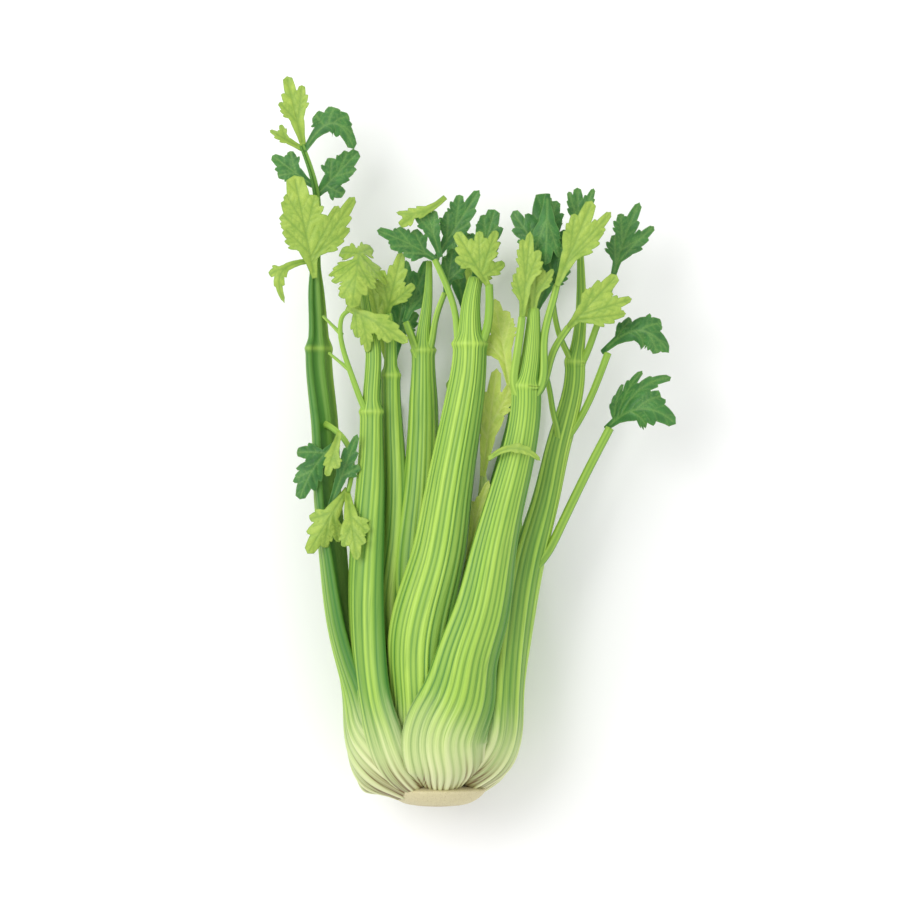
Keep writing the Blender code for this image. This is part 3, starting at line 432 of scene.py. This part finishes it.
def natural_spline(knots, values, where):
    """Natural cubic spline through the values at the knots, read at `where`."""
    gaps, count = np.diff(knots), len(knots)
    matrix, right = np.eye(count), np.zeros_like(values)
    for i in range(1, count - 1):
        matrix[i, i - 1:i + 2] = gaps[i - 1], 2 * (gaps[i - 1] + gaps[i]), gaps[i]
        right[i] = 6 * ((values[i + 1] - values[i]) / gaps[i]
                        - (values[i] - values[i - 1]) / gaps[i - 1])
    bend = np.linalg.solve(matrix, right)
    k = np.clip(np.searchsorted(knots, where) - 1, 0, count - 2)
    gap, before, after = gaps[k][:, None], (where - knots[k])[:, None], (knots[k + 1] - where)[:, None]
    return ((bend[k] * after ** 3 + bend[k + 1] * before ** 3) / (6 * gap)
            + (values[k] / gap - bend[k] * gap / 6) * after
            + (values[k + 1] / gap - bend[k + 1] * gap / 6) * before)


def steady_blend(knots, values, where):
    """Smooth curve through the values that never overshoots between two of them."""
    gaps = np.diff(knots)
    slopes = np.diff(values, axis=0) / gaps[:, None]
    tangents = np.zeros_like(values)
    same_way = slopes[:-1] * slopes[1:] > 0
    both = slopes[:-1] + slopes[1:]
    tangents[1:-1] = np.where(same_way, 2 * slopes[:-1] * slopes[1:] / np.where(both == 0, 1, both), 0)
    tangents[0], tangents[-1] = slopes[0], slopes[-1]
    k = np.clip(np.searchsorted(knots, where) - 1, 0, len(knots) - 2)
    gap = gaps[k][:, None]
    t = (where - knots[k])[:, None] / gap
    return ((1 + 2 * t) * (1 - t) ** 2 * values[k] + t * (1 - t) ** 2 * gap * tangents[k]
            + t * t * (3 - 2 * t) * values[k + 1] - t * t * (1 - t) * gap * tangents[k + 1])


def run_of(points):
    return np.concatenate([[0], np.cumsum(np.linalg.norm(np.diff(points, axis=0), axis=1))])


def tangents_of(points):
    return unit(np.gradient(points, axis=0))


# ---------------------------------------------------------------- meshes

def place(name, points, faces, finish, node, values=()):
    """A smooth piece from plant millimetres, standing for one node of the frame."""
    mesh = bpy.data.meshes.new(name)
    corners = np.asarray(points) * MM + np.array(ORIGIN)
    corners[:, 2] = np.maximum(corners[:, 2], RESTING * MM)
    mesh.from_pydata(corners.tolist(), [], [tuple(map(int, f)) for f in faces])
    mesh.polygons.foreach_set("use_smooth", [True] * len(mesh.polygons))
    for key, data in dict(values).items():
        data = np.asarray(data, dtype=np.float32)
        kind = "FLOAT_VECTOR" if data.ndim == 2 else "FLOAT"
        layer = mesh.attributes.new(key, kind, "POINT")
        layer.data.foreach_set("vector" if data.ndim == 2 else "value", data.ravel())
    mesh.update()
    mesh.materials.append(finish)
    piece = bpy.data.objects.new(name, mesh)
    bpy.context.scene.collection.objects.link(piece)
    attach(piece, "root")
    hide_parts(node)
    return piece


def tube_faces(rings, count):
    """Quads round a lofted tube, with a fan over each end: its two centre points come last."""
    ring, step = np.meshgrid(np.arange(rings - 1), np.arange(count), indexing="ij")
    here, ahead = ring * count + step, ring * count + (step + 1) % count
    sides = np.stack([here, ahead, ahead + count, here + count], axis=-1).reshape(-1, 4).tolist()
    first, last, top = rings * count, rings * count + 1, (rings - 1) * count
    for k in range(count):
        n = (k + 1) % count
        sides += [(first, n, k), (last, top + k, top + n)]
    return sides


def each_ring(row, rings):
    """One ring's values repeated for every ring of a tube, and their mean for its two end points."""
    return np.append(np.tile(row, rings), [row.mean()] * 2)


def rib_relief(around, ribs, rng):
    """Height of the ribs across a stalk's back, 0 in the grooves to 1 on the crests."""
    edges = np.linspace(-1, 1, ribs + 1)
    edges[1:-1] += rng.uniform(-0.55, 0.55, ribs - 1) / ribs
    tall = rng.uniform(0.35, 1.0, ribs)
    k = np.clip(np.searchsorted(edges, around) - 1, 0, ribs - 1)
    part = (around - edges[k]) / (edges[k + 1] - edges[k])
    return tall[k] * (1 - np.abs(2 * part - 1) ** 2.4)


def stalk_mesh(name, seed):
    """Points, faces and surface values of one ribbed stalk."""
    rng = np.random.default_rng(seed)
    rows = stalk_rows(name)
    run = run_of(rows[:, :3])
    below, above = STALKS[name][5:]
    joint = below[-1][0] if above else None
    where = np.arange(0, run[-1], STATION)
    if joint:
        near = np.interp(joint, rows[:, 1], run)
        where = np.union1d(where, near + np.arange(-7, 12, 0.7))
    where = np.append(where[where < run[-1] - 0.5], run[-1])
    centre = natural_spline(run, rows[:, :3], where)
    width, thick, facing, curl = steady_blend(run, rows[:, 3:], where).T
    along = tangents_of(centre)
    facing, curl = np.radians(facing), np.radians(curl)
    out_way = np.stack([np.cos(facing), 0 * facing, np.sin(facing)], axis=1)
    out_way = unit(out_way - along * (along * out_way).sum(axis=1, keepdims=True))
    side_way = np.cross(along, out_way)

    ribs = max(5, round(rows[len(BULB), 3] / RIB_PITCH))
    back = np.linspace(-1, 1, ribs * RIB_POINTS + 1)
    front = np.linspace(1, -1, HOLLOW_POINTS)
    crest = rib_relief(back, ribs, rng)
    radius = (width / 2 / np.sin(curl))[:, None]
    thick = thick[:, None]
    ring = np.zeros_like(where)
    if joint:
        ring = np.exp(-((centre[:, 1] - joint - 0.6) / 1.3) ** 2)
    relief = (0.20 + 0.020 * width)[:, None] * np.clip(width[:, None] / 6, 0, 1) * (1 - 0.75 * ring[:, None])
    collar = 0.55 * ring[:, None] * np.clip(width[:, None] / 12, 0.3, 1)
    wander = 0.25 * np.sin(where[:, None] / 17 + 3 * back[None] + seed) * np.clip(width[:, None] / 20, 0, 1)
    shell = radius + relief * crest[None] + collar + wander
    swing = back[None] * curl[:, None]
    depth = thick * (RIM + (1 - RIM) * (1 - front[None] ** 2) ** 0.75)
    veins = 0.12 * np.cos(front * math.pi * ribs * 0.6)[None]
    bowl = radius - depth + veins
    bowl_swing = front[None] * curl[:, None]
    cap_angles = np.radians([40, 90, 140])
    bead = thick * RIM / 2
    parts = [(shell * np.sin(swing), shell * np.cos(swing))]
    middle = radius - bead
    for sign, angles in ((1, cap_angles), (-1, cap_angles[::-1])):
        reach = middle + bead * np.cos(angles)[None]
        beyond = bead * np.sin(angles)[None] * 0.9
        across = sign * (reach * np.sin(curl)[:, None] + beyond * np.cos(curl)[:, None])
        parts.append((across, reach * np.cos(curl)[:, None] - beyond * np.sin(curl)[:, None]))
    spread_bowl = np.maximum(bowl, LEAST_HOLLOW * radius)
    parts.insert(2, (spread_bowl * np.sin(bowl_swing), bowl * np.cos(bowl_swing)))
    across = np.concatenate([p[0] for p in parts], axis=1)
    out = np.concatenate([p[1] for p in parts], axis=1)
    low = np.minimum(radius - thick, (radius - thick * RIM) * np.cos(curl)[:, None])
    out = out - (radius + low) / 2
    count = across.shape[1]
    points = centre[:, None] + across[..., None] * side_way[:, None] + out[..., None] * out_way[:, None]
    taper = points[-1].mean(axis=0)
    tips = [taper + (points[-1] - taper) * s + along[-1] * r for s, r in ((0.85, 0.5), (0.5, 0.9))]
    points = np.concatenate([points, tips])
    rings = len(points)
    ends = np.array([points[0].mean(axis=0), tips[1].mean(axis=0)])
    flat = np.vstack([points.reshape(-1, 3), ends])

    back_n, cap_n = len(back), len(cap_angles)
    crest_row = np.concatenate([crest, np.full(2 * cap_n + len(front), 0.5)])
    flank_row = np.concatenate([back, np.ones(cap_n), front, -np.ones(cap_n)])
    hollow_row = np.concatenate([np.zeros(back_n), np.full(cap_n, 0.3), np.ones(len(front)),
                                 np.full(cap_n, 0.3)])

    station = np.append(np.arange(len(where)), [len(where) - 1] * 2)
    heights = np.append(np.repeat(centre[station, 1], count), [centre[0, 1], centre[-1, 1]])
    runs = np.append(np.repeat(where[station], count), [0, where[-1]])
    full = np.append(np.repeat(width[station] / 2, count), [1, 1])
    fibre = np.stack([each_ring(flank_row, rings) * full, runs, np.full(len(flat), seed * 13.0)], axis=1)
    fibre[:, 0] += each_ring(hollow_row, rings) * 60
    values = {"crest": each_ring(crest_row, rings), "flank": each_ring(flank_row, rings),
              "hollow": each_ring(hollow_row, rings),
              "height": heights, "fibre": fibre,
              "ring": np.append(np.repeat(ring[station], count), [0, 0])}
    return flat, tube_faces(rings, count), values


def stem_mesh(name, seed):
    """A slim leaf stem with soft ribs, rooted inside its stalk."""
    parent, given, start, end = STEMS[name]
    points = np.array(given, dtype=float)
    if parent in STALKS:
        rows = stalk_rows(parent)
        root_y = points[0, 1] - (6 if points[1, 1] > points[0, 1] else -3)
        points = np.vstack([[np.interp(root_y, rows[:, 1], rows[:, k]) for k in (0, 1, 2)], points])
    run = run_of(points)
    where = np.linspace(0, run[-1], max(8, int(run[-1] / 1.5)))
    centre = natural_spline(run, points, where)
    along = tangents_of(centre)
    up = unit(np.array([0, 0, 1.0]) - along * along[:, 2:3])
    side = np.cross(along, up)
    turn = np.linspace(0, 2 * math.pi, STEM_SIDES, endpoint=False)
    soft = np.cos(turn * 5 + seed)
    size = np.linspace(start, end, len(where)) * (1 + 0.35 * np.exp(-(where / 5) ** 2))
    hollow = np.clip(np.cos(turn), 0, 1) ** 6
    radius = size[:, None] * (1 + 0.07 * soft[None] - 0.12 * hollow[None])
    points = (centre[:, None] + radius[..., None] * (np.sin(turn)[None, :, None] * side[:, None]
                                                    + np.cos(turn)[None, :, None] * up[:, None]))
    flat = np.vstack([points.reshape(-1, 3), centre[:1], centre[-1:] + along[-1:] * 0.4])
    rings = len(where)
    runs = np.append(np.repeat(where, STEM_SIDES), [0, where[-1]])
    heights = np.append(np.repeat(centre[:, 1], STEM_SIDES), [centre[0, 1], centre[-1, 1]])
    fibre = np.stack([each_ring(turn, rings) * 1.5, runs, np.full(len(flat), seed * 7.0)], axis=1)
    values = {"crest": each_ring(0.75 + 0.25 * soft, rings), "flank": each_ring(np.sin(turn), rings),
              "hollow": each_ring(hollow * 0.6, rings),
              "height": heights, "fibre": fibre, "ring": np.zeros(len(flat))}
    return flat, tube_faces(rings, STEM_SIDES), values


# ---------------------------------------------------------------- leaves

def lobe_outline(length, width, teeth, foot, rng):
    """Outline of one pointed lobe along +x, with forward teeth; `foot` is its half width at its start."""
    def half(t):
        return width / 2 * math.sin(math.pi * t ** 1.12) + foot * max(0, 1 - t / 0.35) + 0.3 * (1 - t)

    sides = []
    for _ in range(2):
        side = [(t * length, half(t)) for t in (0.0, 0.1, 0.2, 0.3)]
        steps = np.linspace(FIRST_TOOTH, LAST_TOOTH, teeth + 1)
        for k in range(teeth):
            gap = steps[k + 1] - steps[k]
            bite = width * 0.17 * rng.uniform(0.7, 1.25) * (1 - 0.35 * k / teeth)
            for part, swell in ((0.0, -0.15), (0.3, 0.35), (0.6, 0.8), (0.86, 1.15), (0.93, 0.5)):
                t = steps[k] + gap * part
                ahead = 0.5 * bite if part > 0.8 else 0
                side.append((t * length + ahead, max(half(min(t, 1)) + swell * bite, 0.12)))
        sides.append(side)
    right = [(x, -y) for x, y in sides[0]]
    return np.array(right + [(length, 0.0)] + sides[1][::-1])


def leaf_plan(leaf, length, rng):
    """Flat plan of a leaf: its points, its triangles, and its veins as start, end and is it a midrib."""
    lobes = [(0.0, 0.0, length, leaf[5])]
    lobes += [(s * length, math.radians(a), n * length, w * length) for s, a, n, w in leaf[7]]
    corners, edges, veins = [], [], []
    for start, angle, reach, width in lobes:
        turn = np.array([[math.cos(angle), math.sin(angle)], [-math.sin(angle), math.cos(angle)]])
        teeth = 3 if reach > 14 else 2 if reach > 7 else 1
        outline = lobe_outline(reach, width, teeth, BLADE_FOOT if not corners else 0.2, rng)
        if not corners:
            outline[[0, -1], 0] -= BLADE_OVERLAP
        first = len(corners)
        corners += (outline @ turn + (start, 0)).tolist()
        edges += [(first + k, first + (k + 1) % len(outline)) for k in range(len(outline))]
        spine = np.array([(0, 0), (reach * 0.95, 0)]) @ turn + (start, 0)
        veins.append((*spine, True))
        for side in (-1, 1):
            for t in np.linspace(0.3, 0.8, teeth + 1):
                out = side * width * 0.42 * math.sin(math.pi * t)
                branch = np.array([(t * reach, 0), ((t + 0.16) * reach, out)])
                veins.append((*(branch @ turn + (start, 0)), False))
    rim = np.array(corners)
    low, high = rim.min(axis=0), rim.max(axis=0)
    rows = np.arange(low[1], high[1], LEAF_GRID * 0.866)
    filling = [(x + (LEAF_GRID / 2 if k % 2 else 0), y) for k, y in enumerate(rows)
               for x in np.arange(low[0], high[0], LEAF_GRID)]
    every = [Vector(p) for p in corners + filling]
    points, _, triangles, *_ = geometry.delaunay_2d_cdt(every, edges, [], 1, 1e-4)
    used = sorted({v for triangle in triangles for v in triangle})
    renumber = {v: k for k, v in enumerate(used)}
    triangles = [tuple(renumber[v] for v in triangle) for triangle in triangles]
    return np.array([points[v] for v in used]), triangles, veins


def distance_to(points, starts, ends):
    """Distance from each point to the nearest of the given segments."""
    step = ends - starts
    ahead = ((points[:, None] - starts) * step).sum(axis=2) / np.maximum((step ** 2).sum(axis=1), 1e-9)
    nearest = starts + np.clip(ahead, 0, 1)[..., None] * step
    return np.linalg.norm(points[:, None] - nearest, axis=2).min(axis=1)


def border_of(triangles):
    """Edges used by one triangle only, in that triangle's direction."""
    seen = {}
    for a, b, c in triangles:
        for edge in ((a, b), (b, c), (c, a)):
            seen[edge] = True
    return [edge for edge in seen if (edge[1], edge[0]) not in seen]


def leaf_curve(leaf):
    """The midrib as a function of the fraction along it."""
    base, tip = np.array(leaf[0], dtype=float), np.array(leaf[1], dtype=float)
    chord = tip - base
    left = unit(np.array([-chord[1], chord[0], 0.0]))
    bend = base / 2 + tip / 2 + 2 * (leaf[2] * left + leaf[3] * np.array([0, 0, 1.0]))

    def read(s):
        s = np.asarray(s, dtype=float)[:, None]
        t = np.clip(s, 0, 1)
        point = (1 - t) ** 2 * base + 2 * t * (1 - t) * bend + t ** 2 * tip
        slope = 2 * (1 - t) * (bend - base) + 2 * t * (tip - bend)
        return point + (s - t) * slope, slope

    return read, left


def leaf_mesh(leaf, seed):
    """Points, faces and surface values of one toothed, veined and folded blade."""
    rng = np.random.default_rng(seed)
    read, left = leaf_curve(leaf)
    length = run_of(read(np.linspace(0, 1, 30))[0])[-1]
    flat, triangles, veins = leaf_plan(leaf, length, rng)
    point, slope = read(flat[:, 0] / length)
    slope = unit(slope)
    left = unit(left - slope * (slope @ left)[:, None])
    up = np.cross(slope, left)
    starts, ends = np.array([v[0] for v in veins]), np.array([v[1] for v in veins])
    midribs = [v[2] for v in veins]
    gap = distance_to(flat, starts, ends)
    main = distance_to(flat, starts[midribs], ends[midribs])
    border = border_of(triangles)
    sides = np.array(border)
    edge = distance_to(flat, flat[sides[:, 0]], flat[sides[:, 1]])
    vein = np.maximum(np.exp(-(main / 0.55) ** 2), 0.6 * np.exp(-(gap / 0.4) ** 2))
    puff = 0.35 * (1 - np.exp(-(gap / 1.2) ** 2)) - 0.22 * vein
    phase = rng.uniform(0, 6.28, 3)
    ripple = (np.sin(flat[:, 0] / 3.1 + phase[0]) * np.cos(flat[:, 1] / 2.7 + phase[1])
              * np.exp(-edge / 2.0) * 0.6 + 0.5 * np.sin(flat[:, 0] / 7 + phase[2]))
    fold = math.radians(leaf[4])
    across = flat[:, 1:2]
    rise = np.abs(across) * math.sin(fold) - 0.012 * across ** 2 * (1 if leaf[4] > 0 else 1.4)
    middle = point + across * math.cos(fold) * left + (rise + (puff + ripple)[:, None]) * up
    half = (LEAF_THICKNESS / 2 * np.clip(0.35 + edge / 0.8, 0, 1) + 0.5 * np.exp(-(main / 0.6) ** 2)
            * np.clip(1 - flat[:, 0] / length, 0, 1) * (flat[:, 1] ** 2 < 1))[:, None]
    points = np.vstack([middle + LEAF_THICKNESS / 2 * up, middle - half * up])
    total = len(flat)
    faces = [tuple(t) for t in triangles] + [tuple(total + v for v in reversed(t)) for t in triangles]
    faces += [(b, a, total + a, total + b) for a, b in border]
    sheet = np.column_stack([np.tile(flat, (2, 1)), np.full(2 * total, seed * 5.0)])
    values = {"vein": np.tile(vein, 2), "edge": np.tile(edge, 2), "sheet": sheet,
              "under": np.repeat([0.0, 1.0], total),
              "shade": np.tile(np.clip(1 - flat[:, 0] / length, 0, 1) * 0.6 - 0.2, 2)}
    return points, faces, values


# ---------------------------------------------------------------- the pieces

def make_stalks():
    fresh = stalk_finish("celery_flesh", (0.48, 0.68, 0.11), (0.30, 0.53, 0.060), (0.030, 0.17, 0.022),
                         (0.80, 0.80, 0.48), 8, 62)
    inner = stalk_finish("heart_flesh", (0.62, 0.72, 0.26), (0.46, 0.62, 0.14), (0.16, 0.33, 0.06),
                         (0.86, 0.84, 0.60), 20, 120)
    for seed, name in enumerate(STALKS):
        flesh = inner if name in ("stalk_heart", "stalk_shoot") else fresh
        points, faces, values = stalk_mesh(name, seed)
        place(name.replace("stalk", "rib_stalk"), points, faces, flesh, name, values)
    for seed, name in enumerate(STEMS):
        parent = STEMS[name][0]
        node = parent if parent in STALKS else STEMS[parent][0]
        points, faces, values = stem_mesh(name, seed)
        place("leaf_stem_" + name, points, faces, fresh, node, values)


def make_leaves():
    pale = leaf_finish("heart_leaf_skin", (0.55, 0.68, 0.12), (0.38, 0.55, 0.07), (0.66, 0.72, 0.26), 0.5)
    light = leaf_finish("young_leaf_skin", (0.40, 0.54, 0.085), (0.21, 0.37, 0.045), (0.11, 0.24, 0.030), 0.6)
    dark = leaf_finish("old_leaf_skin", (0.060, 0.225, 0.040), (0.020, 0.105, 0.020), (0.22, 0.40, 0.09), 0.5)
    for seed, (name, leaf) in enumerate(LEAVES.items()):
        skin = pale if leaf[6] < 0.12 else light if leaf[6] < 0.55 else dark
        points, faces, values = leaf_mesh(leaf, seed + 40)
        place(name.replace("leaf_", "blade_"), points, faces, skin, name, values)


def make_root_plate():
    """A lathe-turned end with a slightly uneven skin."""
    profile = natural_spline(np.arange(8.0), np.array(PLATE_PROFILE, dtype=float), np.linspace(0, 7, 60))
    profile[:, 0] = np.maximum(profile[:, 0], 0)
    turn = np.linspace(0, 2 * math.pi, 96, endpoint=False)
    rng = np.random.default_rng(3)
    waves = sum(rng.uniform(0.1, 0.35) * np.cos(turn * k + rng.uniform(0, 6)) for k in (3, 5, 8, 13))
    radius = profile[1:-1, :1] * (1 + 0.02 * waves[None])
    points = np.stack([AXIS_X + radius * np.cos(turn), profile[1:-1, 1:] + 0 * turn,
                       AXIS_Z + radius * np.sin(turn)], axis=-1)
    rings, count = points.shape[:2]
    ends = [(AXIS_X, profile[0, 1], AXIS_Z), (AXIS_X, profile[-1, 1], AXIS_Z)]
    flat = np.vstack([points.reshape(-1, 3), ends])
    ring = np.append(radius.ravel(), [0, 0])
    faces = [tuple(reversed(f)) for f in tube_faces(rings, count)]
    place("root_end", flat, faces, plate_finish(), "root_plate", {"ring": ring, "fibre": flat})


def make_studio():
    """Pale floor and soft light from the upper left."""
    floor_finish = Finish("pale_floor", Roughness=0.9)
    floor_finish.shader.inputs["Base Color"].default_value = (0.97, 0.97, 0.97, 1)
    floor_finish.shader.inputs["Specular IOR Level"].default_value = 0.0
    mesh = bpy.data.meshes.new("floor")
    mesh.from_pydata([(-6, -6, 0), (6, -6, 0), (6, 6, 0), (-6, 6, 0)], [], [(0, 1, 2, 3)])
    mesh.materials.append(floor_finish.material)
    floor = bpy.data.objects.new("floor", mesh)
    bpy.context.scene.collection.objects.link(floor)
    world = bpy.data.worlds.new("soft_room")
    world.use_nodes = True
    world.node_tree.nodes["Background"].inputs["Color"].default_value = (1.0, 1.0, 1.0, 1)
    world.node_tree.nodes["Background"].inputs["Strength"].default_value = 0.85
    bpy.context.scene.world = world
    bpy.context.scene.view_settings.view_transform = "Standard"
    lamps = (("key_panel", (-0.9, 0.5, 1.5), 1.1, 16), ("fill_panel", (1.1, -0.4, 1.3), 1.4, 3))
    for name, spot, size, power in lamps:
        light = bpy.data.lights.new(name, "AREA")
        light.size, light.energy = size, power
        lamp = bpy.data.objects.new(name, light)
        lamp.location = spot
        lamp.rotation_euler = (-Vector(spot)).to_track_quat("-Z", "Y").to_euler()
        bpy.context.scene.collection.objects.link(lamp)


def make_camera():
    lens = bpy.data.cameras.new("camera")
    lens.lens, lens.sensor_width, lens.clip_end = 250, 36, 50
    camera = bpy.data.objects.new("camera", lens)
    camera.location = ORIGIN + Vector((7.8 * MM, 185.6 * MM, 60 * MM + 3.24))
    bpy.context.scene.collection.objects.link(camera)
    bpy.context.scene.camera = camera


make_root_plate()
make_stalks()
make_leaves()
make_studio()
make_camera()
